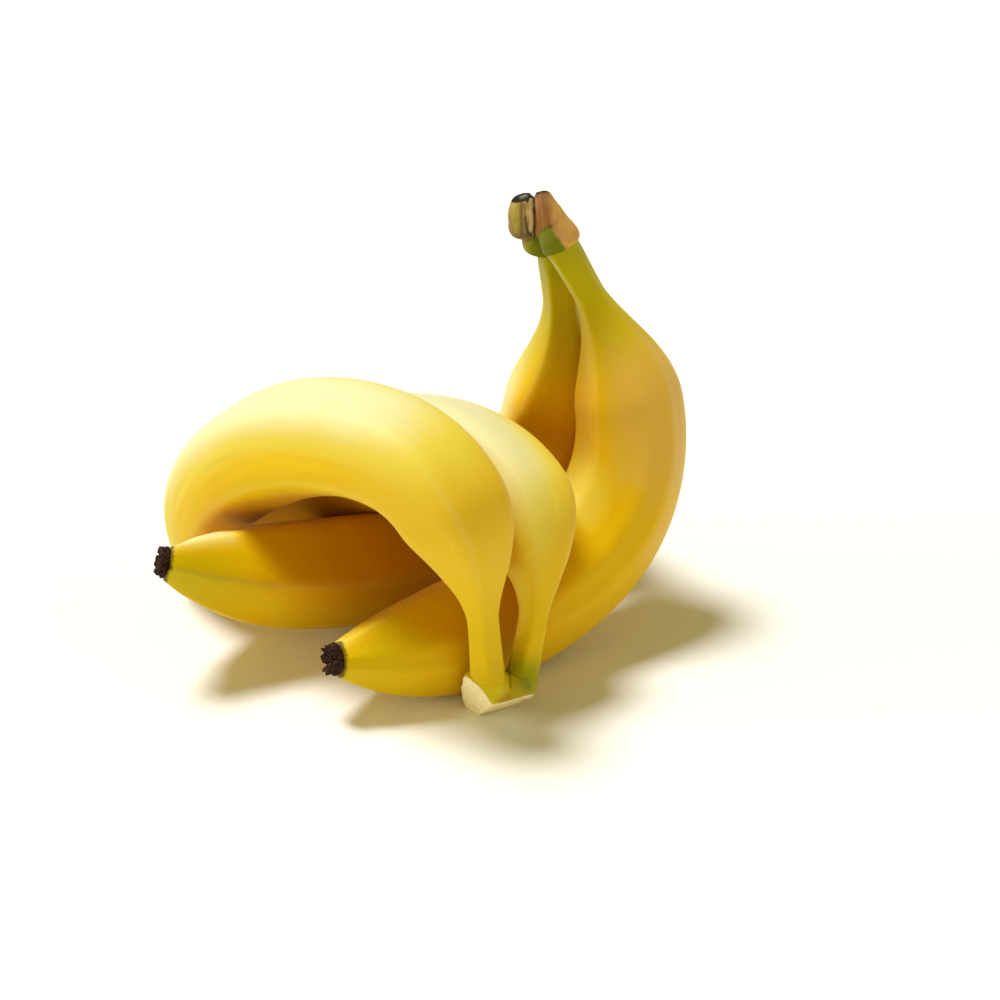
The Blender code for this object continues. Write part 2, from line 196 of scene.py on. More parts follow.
def middle_line(fruit, places):
    """Points of a fruit's middle line at places from 0 at the crown to 1 at the tip, and directions there.

    The line's turn for each unit of place is the even arc, plus a bell round the elbow, plus the hook of the
    last quarter. Its slope is the first slope less the sum of the turns, and its points are the sum of the
    steps along that slope, in an upright plane that is then leaned about X and turned about Z. The directions
    are forward, inward (to the hollow side) and sideways. Below 0 the line runs straight on into the crown.
    """
    u = np.linspace(0.0, 1.0, LINE_STEPS + 1)
    span = fruit["elbow_span"]
    turn = fruit["arc"] * smooth((u - 0.04) / 0.12) / 0.9
    bell = np.exp(-(((u - fruit["elbow_at"]) / span) ** 2)) / (span * math.sqrt(math.pi))
    turn = turn + fruit["elbow"] * bell
    turn = turn + fruit["hook"] * smooth((u - 0.72) / 0.28) / 0.14
    turned = np.concatenate([[0.0], np.cumsum((turn[1:] + turn[:-1]) / 2.0)]) / LINE_STEPS
    slope = np.radians(fruit["slope"] - turned)
    along = np.stack([np.cos(slope), np.zeros_like(u), np.sin(slope)], axis=1)
    steps = (along[1:] + along[:-1]) / 2.0 * fruit["length"] / LINE_STEPS
    points = np.vstack([np.zeros(3), np.cumsum(steps, axis=0)])
    centre = np.stack([np.interp(places, u, points[:, axis]) for axis in range(3)], axis=1)
    slope_at = np.interp(places, u, slope)
    zero = np.zeros_like(places)
    forward = np.stack([np.cos(slope_at), zero, np.sin(slope_at)], axis=1)
    inward = np.stack([np.sin(slope_at), zero, -np.cos(slope_at)], axis=1)
    centre = centre + np.minimum(places, 0.0)[:, None] * fruit["length"] * forward
    heading, lean = math.radians(fruit["heading"]), math.radians(-fruit["lean"])
    turn_z = np.array([
        [math.cos(heading), -math.sin(heading), 0.0],
        [math.sin(heading), math.cos(heading), 0.0],
        [0.0, 0.0, 1.0],
    ])
    lean_x = np.array([
        [1.0, 0.0, 0.0],
        [0.0, math.cos(lean), -math.sin(lean)],
        [0.0, math.sin(lean), math.cos(lean)],
    ])
    place = (turn_z @ lean_x).T
    sideways = np.cross(forward, inward)
    return centre @ place + fruit["start"] + BUNCH_AT, forward @ place, inward @ place, sideways @ place


def half_width(fruit, u):
    """The neck's half width, rising to the belly's at the shoulder, with the taper to the snout taken off."""
    fill = fruit["shoulder_fill"]
    rise = smooth((u - fruit["neck_end"]) / (fruit["shoulder"] - fruit["neck_end"]))
    width = fruit["neck"] + (fruit["belly"] * fill - fruit["neck"]) * rise
    width = width + fruit["belly"] * (1.0 - fill) * smooth((u - 0.15) / 0.40)
    fall = np.clip((u - fruit["taper"]) / (1.0 - fruit["taper"]), 0.0, 1.0) ** fruit["taper_power"]
    width = width - (fruit["belly"] - SNOUT_RADIUS) * fall
    return width + NECK_FLARE * np.exp(-np.maximum(u, 0.0) / FLARE_SPAN)


def section(angle, sharpness, ridge):
    """A rounded five-sided outline of about unit size: each flat side gives its cosine to the power of
    sharpness, and the distance from the middle is their sum to the power of -1/sharpness, over its mean round
    the ring."""
    flats = ridge[:, None, None] + math.pi / 5.0 + np.arange(5) * 2.0 * math.pi / 5.0
    facing = np.maximum(np.cos(angle[..., None] - flats), 0.0)
    outline = (facing ** sharpness[..., None]).sum(axis=-1) ** (-1.0 / sharpness)
    return outline / outline.mean(axis=-1, keepdims=True)


def ripple(points, size, seed, waves=14):
    """Soft unevenness from about -1 to 1: a sum of sine waves of about the given length, in seeded ways."""
    random = np.random.default_rng(seed)
    heading = random.normal(size=(waves, 3))
    heading /= np.linalg.norm(heading, axis=1)[:, None]
    pitch = 2.0 * math.pi / (size * random.uniform(0.7, 1.6, waves))
    phase = random.uniform(0.0, 2.0 * math.pi, waves)
    return np.sin((points @ heading.T) * pitch + phase).sum(axis=-1) / math.sqrt(waves)


# Any direction that no ray of light and no skin faces exactly
ASKEW = np.array([0.31, 0.52, 0.79])


def fan(middle, spread, count):
    """So many directions round each middle direction, in a spiral out to spread, in radians, and the cosine
    of each to its middle."""
    rank = (np.arange(count) + 0.5) / count
    height = 1.0 - rank * (1.0 - math.cos(spread))
    spin = np.arange(count) * math.pi * (3.0 - math.sqrt(5.0))
    side = np.cross(middle, ASKEW)
    side /= np.linalg.norm(side, axis=1)[:, None]
    other = np.cross(middle, side)
    reach = np.sqrt(1.0 - height**2)
    ways = height[None, :, None] * middle[:, None] + (reach * np.cos(spin))[None, :, None] * side[:, None]
    return ways + (reach * np.sin(spin))[None, :, None] * other[:, None], height


def blocked(points, ways, own, own_place):
    """Whether each way from each point meets a fruit. Each fruit counts as a row of balls along its middle
    line. Balls within a short stretch of the same fruit are left out."""
    u = np.linspace(0.06, 0.98, SHADE_BALLS)
    hidden = np.zeros(ways.shape[:2], bool)
    for name, fruit in FRUITS.items():
        for centre, width, place in zip(middle_line(fruit, u)[0], half_width(fruit, u) * BALL_SHARE, u):
            to_ball = centre - points
            ahead = np.einsum("ijk,ik->ij", ways, to_ball)
            miss = (to_ball**2).sum(axis=1)[:, None] - ahead**2
            hit = (ahead > 0.0) & (miss < width**2)
            if name == own:
                hit &= (np.abs(own_place - place) > OWN_STRETCH)[:, None]
            hidden |= hit
    return hidden


# The peel paints the first of these as shade and the second as light, into its colour.
def shelter_and_daylight(points, outward, own, own_place):
    """How much of what a point faces is fruit, from 0 to 1, and how much of the lamps' light reaches it: for
    the high lamp and a third of the side lamp, the cosine to outward times the share of its ways that is
    free."""
    ways, height = fan(outward, math.radians(70.0), 56)
    ambient_shade = (blocked(points, ways, own, own_place) * height).sum(axis=1) / height.sum()
    daylight = 0.0
    for towards, share in ((HIGH_LAMP, 1.0), (SIDE_LAMP, 0.35)):
        ways, _ = fan(np.broadcast_to(towards, points.shape), math.radians(12.0), 12)
        free = 1.0 - blocked(points, ways, own, own_place).mean(axis=1)
        daylight = daylight + share * free * np.maximum(outward @ towards, 0.0)
    return ambient_shade, daylight


def skin_mesh(name, rings):
    """A closed skin through rings of points, of shape (rings, sides, 3): quads between neighbouring rings,
    and a fan of triangles to the middle of the first ring and of the last. Faces point out when a ring's
    order and the way along the rings make a right-handed turn."""
    count, sides, _ = rings.shape
    points = np.vstack([rings.reshape(-1, 3), rings[0].mean(axis=0), rings[-1].mean(axis=0)])
    here = np.arange(sides)
    beside = (here + 1) % sides
    start = (np.arange(count - 1) * sides)[:, None]
    quads = np.stack([start + here, start + beside, start + beside + sides, start + here + sides], axis=-1)
    first = np.stack([np.full(sides, count * sides), beside, here], axis=-1)
    last_ring = (count - 1) * sides
    last = np.stack([np.full(sides, count * sides + 1), last_ring + here, last_ring + beside], axis=-1)
    mesh = bpy.data.meshes.new(name)
    faces = quads.reshape(-1, 4).tolist() + first.tolist() + last.tolist()
    mesh.from_pydata(points.tolist(), [], faces)
    mesh.shade_smooth()
    obj = bpy.data.objects.new(name, mesh)
    bpy.context.scene.collection.objects.link(obj)
    return obj


def store(obj, name, values):
    """Keep a value for each point of a mesh, as numbers or as vectors. Points past the end of values, which
    are the middles of the two end fans, get the last one."""
    values = np.asarray(values, np.float32)
    short = len(obj.data.vertices) - len(values)
    values = np.concatenate([values, np.repeat(values[-1:], short, axis=0)])
    kind = "FLOAT" if values.ndim == 1 else "FLOAT_VECTOR"
    field = "value" if values.ndim == 1 else "vector"
    obj.data.attributes.new(name, kind, "POINT").data.foreach_set(field, values.ravel())


class Tone:
    """A socket of a material. Sums, differences and products add Math nodes, so a formula reads as one."""

    def __init__(self, tree, socket=None):
        self.tree = tree
        self.socket = socket

    def node(self, kind, settings, values, output=0):
        """Any node: its type, its settings, then the values or links of its sockets, and which output."""
        made = self.tree.nodes.new(kind)
        for key, value in settings.items():
            setattr(made, key, value)
        for key, value in values.items():
            if isinstance(value, Tone):
                self.tree.links.new(value.socket, made.inputs[key])
            elif made.inputs[key].type == "RGBA":
                made.inputs[key].default_value = (*value, 1.0)
            else:
                made.inputs[key].default_value = value
        return Tone(self.tree, made.outputs[output])

    def math(self, operation, *values):
        return self.node("ShaderNodeMath", {"operation": operation}, dict(enumerate(values)))

    def __add__(self, other):
        return self.math("ADD", self, other)

    def __sub__(self, other):
        return self.math("SUBTRACT", self, other)

    def __rsub__(self, other):
        return self.math("SUBTRACT", other, self)

    def __mul__(self, other):
        return self.math("MULTIPLY", self, other)

    __radd__ = __add__
    __rmul__ = __mul__

    def ease(self, low, high):
        """0 at low, 1 at high, with an even ease between."""
        values = {"Value": self, "From Min": low, "From Max": high}
        return self.node("ShaderNodeMapRange", {"interpolation_type": "SMOOTHSTEP"}, values, "Result")

    def between(self, first, second):
        """The colour that is first where this is 0 and second where it is 1."""
        return self.node("ShaderNodeMix", {"data_type": "RGBA"}, {0: self, 6: first, 7: second}, 2)

    def grain(self, where, scale, detail=3.0, roughness=0.55):
        """Cloudy noise from 0 to 1, with so many clouds in each unit of where."""
        values = {"Vector": where, "Scale": scale, "Detail": detail, "Roughness": roughness}
        return self.node("ShaderNodeTexNoise", {"noise_dimensions": "3D"}, values, "Fac")

    def stored(self, name, output="Fac"):
        """A value that the mesh keeps for each point."""
        return self.node("ShaderNodeAttribute", {"attribute_name": name}, {}, output)

    def stretched(self, where, factors):
        """where, with its three parts multiplied by factors."""
        return self.node("ShaderNodeVectorMath", {"operation": "MULTIPLY"}, {0: where, 1: factors})

    def bump(self, height, strength, distance):
        """Bumps of up to distance, in metres, where height is 1."""
        values = {"Height": height, "Strength": strength, "Distance": distance}
        return self.node("ShaderNodeBump", {}, values, "Normal")

    def into(self, socket):
        self.tree.links.new(self.socket, socket)


def new_finish(name):
    """A new material with only its Principled shader, a Tone to start formulas from, and that shader's
    sockets."""
    material = bpy.data.materials.new(name)
    material.use_nodes = True
    return material, Tone(material.node_tree), material.node_tree.nodes["Principled BSDF"].inputs


# Peel colours. Cream is a painted highlight, lemon the peel where lit, gold and amber its warm tones that
# also stand as painted shade, and tan a tone that is partly a painted sheen.
HIGHLIGHT_CREAM = (0.74, 0.72, 0.42)
LIT_LEMON = (0.76, 0.60, 0.065)
GOLD_AND_SHADE = (0.76, 0.50, 0.002)
TAN_AND_SHEEN = (0.69, 0.42, 0.090)
AMBER_AND_SHADE = (0.66, 0.32, 0.0)
LIME = (0.42, 0.38, 0.0)
LEAF_GREEN = (0.27, 0.28, 0.0)
FRECKLE = (0.24, 0.11, 0.01)
CHAR = (0.03, 0.01, 0.004)


def peel(name, neck_green, collar_green, tip_green, golden, pale, tan):
    """Ripe peel, with light and shade painted into its colour. A painted highlight of pale cream lies where
    the lamps' light falls strongest and faintly along the ridges. The peel is lemon where lit and gold with
    soft tan clouds, partly a painted sheen, where not, and painted amber shade lies deep in the group. Green
    stays at the neck and the tip, held back where the tip is lit. Fine grain runs along the fruit, and there
    are a few brown freckles."""
    material, tone, sockets = new_finish(name + "_peel")
    where = tone.stored("grain", "Vector")
    along = tone.stored("along")
    shade = tone.stored("ambient_shade")
    daylight = tone.stored("daylight")
    clouds = tone.grain(where, 38.0) - 0.5
    lengthways = tone.grain(tone.stretched(where, (1.0, 1.0, 0.08)), 900.0, 4.0) - 0.5
    # Tan clouds on the upper body, partly a painted soft sheen, kept out of the painted amber shade.
    tan_and_sheen = (along + clouds * 0.15).ease(0.08, 0.20) * (along + clouds * 0.35).ease(0.50, 0.30)
    tan_and_sheen = tan_and_sheen * (0.4 - shade).ease(0.0, 0.3) * tan
    # Painted light and shade: the peel is lemon where the lamps' light reaches it, and gold, amber and tan
    # where it doesn't.
    warm_shade = (clouds + golden * 2.0).between(GOLD_AND_SHADE, AMBER_AND_SHADE)
    colour = (daylight + clouds * 0.25 - golden).ease(0.22, 0.66).between(tan_and_sheen.between(warm_shade, TAN_AND_SHEEN), LIT_LEMON)
    # A painted highlight of pale cream where the lamps' light is strongest.
    highlight_weight = daylight + clouds * 0.20 + lengthways * 0.08 + pale
    colour = highlight_weight.ease(0.60, 1.08).between(colour, HIGHLIGHT_CREAM)
    # Painted shade: amber where other fruits hide the sky and little light falls.
    colour = (shade - daylight * 0.9 + lengthways * 0.10).ease(0.08, 0.58).between(colour, AMBER_AND_SHADE)
    fade = clouds * 0.06 + lengthways * 0.05
    colour = ((along + fade).ease(0.26, 0.06) * neck_green * 0.80).between(colour, LIME)
    colour = ((along + fade * 0.5).ease(0.055, 0.0) * collar_green).between(colour, LEAF_GREEN)
    # Green at the tip is held back where the tip is lit, so the painted light shows there.
    tip = (along - fade).ease(0.84, 0.985) * daylight.ease(0.60, 0.20) * tip_green
    colour = tip.between(colour, LIME)
    # A faint painted highlight of cream along the ridges.
    colour = (tone.stored("ridge_highlight") * 0.06).between(colour, HIGHLIGHT_CREAM)
    spots = tone.node("ShaderNodeTexVoronoi", {}, {"Vector": where, "Scale": 420.0}, "Distance")
    few = tone.grain(where, 70.0, 1.0).ease(0.62, 0.70)
    colour = (spots.ease(0.13, 0.05) * few * 0.50).between(colour, FRECKLE)
    colour = ((along + lengthways * 0.01).ease(0.994, 0.9995) * 0.8).between(colour, CHAR)
    colour.into(sockets["Base Color"])
    (lengthways * 0.12 + clouds * 0.10 + 0.46).into(sockets["Roughness"])
    pores = tone.grain(where, 2600.0, 2.0)
    height = pores * 0.25 + lengthways * 0.5 + clouds * 0.6
    tone.bump(height, 0.14, 0.0005).into(sockets["Normal"])
    sockets["Specular IOR Level"].default_value = 0.16
    sockets["Specular Tint"].default_value = (1.0, 0.88, 0.45, 1.0)
    sockets["Sheen Weight"].default_value = 0.12
    sockets["Sheen Roughness"].default_value = 0.30
    sockets["Sheen Tint"].default_value = (1.0, 0.92, 0.62, 1.0)
    sockets["Subsurface Weight"].default_value = 0.06
    sockets["Subsurface Radius"].default_value = (1.0, 0.45, 0.03)
    sockets["Subsurface Scale"].default_value = 0.003
    return material


def make_fruit(name, fruit, crisp, turned, softened, slant, root, **look):
    """One fruit: the five-sided section at each place, carried along the middle line, a little uneven. It
    turns round where it enters the crown. Points past a knife cut or below the table move back onto that
    plane."""
    u = np.concatenate([[-root, -root / 2.0], np.linspace(0.0, 1.0, RINGS)])
    centre, forward, inward, sideways = middle_line(fruit, u)
    first_ridge = math.radians(fruit["ridge"])
    angle = np.broadcast_to(first_ridge + np.arange(SIDES) * 2.0 * math.pi / SIDES, (len(u), SIDES))
    sharpness = crisp + 1.2 * (1.0 - smooth(u / 0.30)) + 1.5 * smooth((u - 0.75) / 0.25)
    sharpness = 3.0 + (sharpness - 3.0) * smooth(u / 0.04)
    ridge = first_ridge + np.radians(turned[0] + (turned[1] - turned[0]) * smooth(u / 0.4))
    sharpness = np.broadcast_to(sharpness[:, None], angle.shape)
    if softened:
        beside = np.angle(np.exp(1j * (angle - WORN_CORNER)))
        sharpness = sharpness + (3.6 - sharpness) * np.exp(-((beside / 0.55) ** 2))
    shape = section(angle, sharpness, ridge)
    width = half_width(fruit, u)[:, None]
    outward = np.cos(angle)[..., None] * inward[:, None] + np.sin(angle)[..., None] * sideways[:, None]
    distance_along = np.broadcast_to((u * fruit["length"])[:, None], angle.shape)
    unrolled = np.stack([width * np.cos(angle), width * np.sin(angle), distance_along], axis=-1)
    seed = len(name) + int(fruit["heading"] * 10.0)
    uneven = 0.00013 * ripple(unrolled * (1.0, 1.0, 0.5), 0.018, seed) * smooth(u / 0.2)[:, None]
    uneven = uneven + 0.00004 * ripple(unrolled * (1.0, 1.0, 0.12), 0.004, seed + 1)
    rings = centre[:, None] + (shape * width + uneven)[..., None] * outward
    shelter_rows = np.linspace(0, len(u) - 1, SHELTER_ROWS).astype(int)
    shelter_sides = np.linspace(0, SIDES - 1, SHELTER_SIDES).astype(int)
    coarse = rings[np.ix_(shelter_rows, shelter_sides)]
    coarse_out = outward[np.ix_(shelter_rows, shelter_sides)].reshape(-1, 3)
    place = np.repeat(u[shelter_rows], len(shelter_sides))
    found = shelter_and_daylight(coarse.reshape(-1, 3) + coarse_out * LIFT_OFF, coarse_out, name, place)
    lean = slant * width * np.cos(angle - END_FACE_SIDE) * smooth((u - 0.93) / 0.07)[:, None]
    rings = rings + lean[..., None] * forward[:, None]
    cuts = KNIFE_CUTS if name.startswith("banana_front") else ()
    for point, outward_of_cut in cuts:
        past = (rings - BUNCH_AT - np.array(point)) @ np.array(outward_of_cut) + CUT_COVER
        past = np.maximum(past, 0.0) * (u < 0.05)[:, None]
        rings = rings - past[..., None] * np.array(outward_of_cut)
    rings[..., 2] = np.maximum(rings[..., 2], 0.0)
    obj = skin_mesh(name + "_skin", rings)
    # These are painted into the peel's colour, as shade and as light.
    for label, values in zip(("ambient_shade", "daylight"), found):
        values = values.reshape(len(shelter_rows), len(shelter_sides))
        values = np.array([np.interp(np.arange(SIDES), shelter_sides, row) for row in values])
        values = np.array([np.interp(np.arange(len(u)), shelter_rows, column) for column in values.T]).T
        store(obj, label, values.ravel())
    store(obj, "grain", unrolled.reshape(-1, 3))
    store(obj, "along", np.repeat(u, SIDES))
    # How near each point is to a corner, for the faint painted highlight along the ridges.
    closeness = np.exp(-((shape / shape.max(axis=1, keepdims=True) - 1.0) / 0.006) ** 2)
    store(obj, "ridge_highlight", (closeness * smooth(u / 0.2)[:, None]).ravel())
    obj.data.materials.append(peel(name, **look))
    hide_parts(name)
    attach(obj, "root")


for fruit_name, fruit_sizes in FRUITS.items():
    make_fruit(fruit_name, fruit_sizes, **PEELS[fruit_name])


# The two crowns
# A crown is the woody cushion that a pair of necks grew from. The front one was cut fresh from the hand, with
# two pale knife faces. The rear one was cut earlier and has dried brown, above a green collar.

# Each stub has how far its rim overlaps its fruit's neck, and its balls. A ball is a place and a half width.
CROWNS = {
    "crown_front": dict(
        stubs={
            "banana_front_near": (0.0005, (
                (-0.0038, -0.0304, 0.0172, 0.0053),
                (-0.0046, -0.0305, 0.0115, 0.0062),
                (-0.0062, -0.0297, 0.0078, 0.0067),
                (-0.0080, -0.0289, 0.0013, 0.0068),
                (-0.0096, -0.0283, -0.0067, 0.0064),
            )),
            "banana_front_far": (0.0005, (
                (0.0067, -0.0259, 0.0152, 0.0047),
                (0.0060, -0.0262, 0.0126, 0.0050),
                (0.0043, -0.0270, 0.0100, 0.0052),
                (0.0016, -0.0273, 0.0064, 0.0051),
                (-0.0004, -0.0275, 0.0004, 0.0051),
                (-0.0012, -0.0276, -0.0066, 0.0050),
            )),
        },
        lobes=(),
        webs=(
            (0.0003, -0.0284, 0.0079, 0.0054),
            (-0.0020, -0.0284, 0.0019, 0.0056),
            (-0.0080, -0.0310, 0.0152, 0.0034),
        ),
        cuts=KNIFE_CUTS,
        cut_reach=0.1,
        middle=(-0.0012, -0.0283, 0.0078),
    ),
    "crown_rear": dict(
        stubs={
            "banana_rear_right": (0.0003, (
                (0.0196, 0.0537, 0.1228, 0.0063),
                (0.0186, 0.0534, 0.1268, 0.0062),
                (0.0122, 0.0535, 0.1432, 0.0020),
            )),
            "banana_rear_left": (-0.0022, (
                (0.0184, 0.0648, 0.1170, 0.0067),
                (0.0151, 0.0643, 0.1182, 0.0070),
                (0.0132, 0.0638, 0.1220, 0.0062),
                (0.0106, 0.0620, 0.1266, 0.0045),
            )),
        },
        lobes=(
            (
                (0.0068, 0.0604, 0.1278, 0.0043),
                (0.0069, 0.0600, 0.1320, 0.0042),
                (0.0072, 0.0598, 0.1352, 0.0037),
                (0.0077, 0.0594, 0.1390, 0.0020),
            ),
        ),
        webs=(
            (0.0128, 0.0574, 0.1295, 0.0044),
            (0.0112, 0.0568, 0.1337, 0.0032),
            (0.0101, 0.0562, 0.1382, 0.0020),
        ),
        cuts=(
            ((0.0077, 0.0594, 0.1382), (-0.30, -0.02, 0.954)),
            ((0.0124, 0.0535, 0.1416), (-0.20, 0.62, 0.76)),
        ),
        cut_reach=0.0050,
        middle=(0.0130, 0.0585, 0.1270),
    ),
}
# Lines on the crowns, as seen from the front, in millimetres to the right of the camera's aim and up from it.
# Each has its half width, how far it stands out in metres, and its points.
FRONT_LINES = {
    # The gap is sunk and painted dark, as shade between the necks.
    "gap": (0.50, -0.0008, ((3.4, -46.0), (2.7, -50.5), (2.5, -52.0))),
    "seam": (0.40, -0.0003, ((2.9, -53.0), (3.2, -57.0))),
    # A darker amber-brown patch low in the middle.
    "amber_low": (1.5, 0.0, ((0.5, -61.5), (2.5, -60.5))),
    "leaf": (2.6, 0.0, ((6.4, -52.5), (8.6, -57.0))),
    # A painted highlight on the left of the crown.
    "painted_highlight": (0.8, 0.0, ((-6.2, -54.0), (-4.4, -54.3))),
    "sore": (0.5, 0.0, ((7.0, -61.9), (8.3, -61.9))),
}
REAR_LINES = {
    "crevice": (0.32, -0.0007, ((10.7, 96.0), (10.7, 91.0), (10.9, 87.5), (10.7, 84.3), (11.0, 82.0))),
    "pale": (0.50, 0.0003, ((9.6, 95.2), (9.7, 91.0), (9.9, 87.0), (9.7, 84.4))),
    "groove": (0.30, -0.0004, ((7.9, 88.5), (8.3, 86.0), (8.9, 83.6))),
    "groove_left": (0.40, -0.0002, ((6.9, 94.5), (6.6, 89.0), (6.9, 83.0))),
    "spot": (0.50, -0.0002, ((9.7, 83.7), (9.8, 83.4))),
    "burnt": (0.60, 0.0, ((10.6, 95.0), (12.8, 95.8), (15.2, 96.0))),
    "yellow": (1.2, 0.0, ((5.1, 92.0), (5.0, 88.0), (5.2, 85.0))),
    "maroon": (0.80, -0.0003, ((9.0, 81.4), (11.2, 82.0), (13.4, 83.4), (15.6, 85.0))),
    "rim": (0.60, 0.0002, ((19.3, 79.9), (21.0, 79.6), (23.4, 80.3), (26.0, 82.2))),
    "heart": (0.60, 0.0, ((6.7, 94.9), (8.0, 95.4))),
}


def front_view(points):
    """Where points lie as seen from the front: millimetres across and up from the camera's aim."""
    away = (points - CAMERA_AIM) * 1000.0
    return away[..., 0], away[..., 2] * math.cos(LOOK_DOWN) + away[..., 1] * math.sin(LOOK_DOWN)


def line_weight(points, line):
    """1 on a line, falling to 0 with a bell of the distance to its nearest stretch over its half width."""
    width, _, ends = line
    across, up = front_view(points)
    nearest = np.full(across.shape, 1e9)
    for (x0, y0), (x1, y1) in zip(ends[:-1], ends[1:]):
        dx, dy = x1 - x0, y1 - y0
        share = np.clip(((across - x0) * dx + (up - y0) * dy) / (dx * dx + dy * dy), 0.0, 1.0)
        nearest = np.minimum(nearest, np.hypot(across - x0 - share * dx, up - y0 - share * dy))
    return np.exp(-((nearest / width) ** 2))


def rounded_max(first, second, blend):
    """The larger of two numbers, with the corner between them eased over blend."""
    ease = np.clip(0.5 + 0.5 * (first - second) / blend, 0.0, 1.0)
    return second + (first - second) * ease + blend * ease * (1.0 - ease)


def chain(points, balls, blend):
    """Distance outside a row of balls joined by cones, in metres, melted into each other over blend: -blend
    times the log of the sum of e to the power of -distance / blend."""
    total = 0.0
    balls = np.array(balls)
    for low, high in zip(balls[:-1], balls[1:]):
        step = high[:3] - low[:3]
        share = np.clip((points - low[:3]) @ step / (step @ step), 0.0, 1.0)
        away = np.linalg.norm(points - low[:3] - share[..., None] * step, axis=-1)
        total = total + np.exp(-(away - low[3] - share * (high[3] - low[3])) / blend)
    return -blend * np.log(total)


# How far from its middle a crown may reach, and how far the edges of its rims and its cuts are eased
CROWN_REACH = 0.024
RIM_EDGE = 0.0005
CUT_EDGE = 0.0003


def growth(points, crown, blend):
    """Distance outside the grown body, in metres. A stub is a chain that ends in a flat rim across its
    fruit's neck. Stubs, lobes and webs melt into each other, and a cut's flat face bounds what is within its
    reach."""
    total = 0.0
    for fruit_name, (lap, balls) in crown["stubs"].items():
        fruit = FRUITS[fruit_name]
        forward = middle_line(fruit, np.zeros(1))[1][0]
        past_rim = (points - np.array(fruit["start"])) @ forward - lap
        total = total + np.exp(-rounded_max(chain(points, balls, blend), past_rim, RIM_EDGE) / blend)
    for balls in crown["lobes"]:
        total = total + np.exp(-chain(points, balls, blend) / blend)
    for web in crown["webs"]:
        away = np.linalg.norm(points - np.array(web[:3]), axis=-1)
        total = total + np.exp(-(away - web[3]) / blend)
    distance = -blend * np.log(total)
    for plane in cut_planes(points, crown):
        distance = rounded_max(distance, plane, CUT_EDGE)
    return distance


def cut_planes(points, crown):
    """For each cut of a crown, how far the points lie past its plane, in metres. Beyond the cut's reach they
    count as far inside."""
    for point, outward in crown["cuts"]:
        near = np.linalg.norm(points - np.array(point), axis=-1) < crown["cut_reach"]
        yield np.where(near, (points - np.array(point)) @ np.array(outward), -1.0)


def make_crown(name, crown, blend, lines, material, rows=190, sides=380):
    """A crown as a surface of two angles round its middle: along each direction, the furthest point where
    growth is zero, found by steps inwards and then by halving. Its lines stand out or are sunk in along the
    same rays, all but at the back."""
    lift = np.linspace(0.0, math.pi, rows + 2)[1:-1]
    spin = np.arange(sides) * 2.0 * math.pi / sides
    lift, spin = np.meshgrid(lift, spin, indexing="ij")
    ray = np.stack([np.sin(lift) * np.cos(spin), np.sin(lift) * np.sin(spin), -np.cos(lift)], axis=-1)
    middle = np.array(crown["middle"])
    reach = np.linspace(CROWN_REACH, 0.0, 70)
    far = np.full(lift.shape, reach[-1])
    found = np.zeros(lift.shape, bool)
    for distance in reach:
        inside = growth(middle + distance * ray, crown, blend) < 0.0
        far = np.where(inside & ~found, distance, far)
        found |= inside
    near, out = far, far + reach[0] - reach[1]
    for _ in range(12):
        half = (near + out) / 2.0
        inside = growth(middle + half[..., None] * ray, crown, blend) < 0.0
        near = np.where(inside, half, near)
        out = np.where(inside, out, half)
    rings = middle + near[..., None] * ray + BUNCH_AT
    uneven = 0.00006 * ripple(rings, 0.0030, 5) * smooth(near / 0.004)
    facing = ray[..., 1] < 0.25
    for line in lines.values():
        uneven = uneven + line[1] * line_weight(rings, line) * facing
    rings = rings + uneven[..., None] * ray
    rings[..., 2] = np.maximum(rings[..., 2], 0.0)
    obj = skin_mesh(name + "_body", rings)
    for label, line in lines.items():
        store(obj, label, (line_weight(rings, line) * facing).ravel())
    past_cut = np.max(list(cut_planes(rings - BUNCH_AT, crown)), axis=0)
    store(obj, "cut", smooth((past_cut + 0.00045) / 0.0002).ravel())
    across, up = front_view(rings)
    store(obj, "across", across.ravel())
    store(obj, "up", up.ravel())
    obj.data.materials.append(material)
    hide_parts(name)
    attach(obj, "root")


def fresh_cut():
    """The front crown: yellow skin on the left, amber between the necks and leaf green on the right, with a
    painted highlight on the left, painted shade in the gap between the necks and a darker amber-brown patch
    low in the middle. On the two knife faces the flesh is pale, with the ends of fibres as fine grain and a
    reddish sore spot."""
    material, tone, sockets = new_finish("fresh_crown_skin")
    where = tone.node("ShaderNodeTexCoord", {}, {}, "Object")
    grain = tone.grain(where, 500.0, 4.0)
    fine = tone.grain(where, 2600.0, 3.0)
    place = tone.stored("across") + (grain - 0.5) * 3.0
    skin = place.ease(-8.0, -3.0).between((0.70, 0.48, 0.0), (0.66, 0.53, 0.0))
    skin = place.ease(0.5, 5.0).between(skin, (0.50, 0.39, 0.0))
    # Darker amber-brown low in the middle.
    skin = (tone.stored("amber_low") * 0.8).between(skin, (0.42, 0.19, 0.0))
    skin = (tone.stored("leaf") * 0.9).between(skin, (0.21, 0.21, 0.0))
    # A painted highlight, pale yellow.
    skin = (tone.stored("painted_highlight") * 0.5).between(skin, (0.74, 0.62, 0.06))
    skin = (tone.stored("seam") * 0.6).between(skin, (0.24, 0.10, 0.0))
    # Painted shade in the gap between the necks.
    skin = tone.stored("gap").between(skin, (0.10, 0.02, 0.0))
    cut = tone.stored("cut")
    flesh = (fine * 0.6 + grain * 0.5).ease(0.35, 0.75).between((0.80, 0.65, 0.33), (0.95, 0.87, 0.58))
    flesh = (tone.stored("sore") * 0.8).between(flesh, (0.55, 0.16, 0.10))
    cut.between(skin, flesh).into(sockets["Base Color"])
    (cut * 0.30 + 0.46).into(sockets["Roughness"])
    height = grain * 0.4 + fine * cut * 0.8
    tone.bump(height, 0.35, 0.0003).into(sockets["Normal"])
    sockets["Specular IOR Level"].default_value = 0.20
    return material


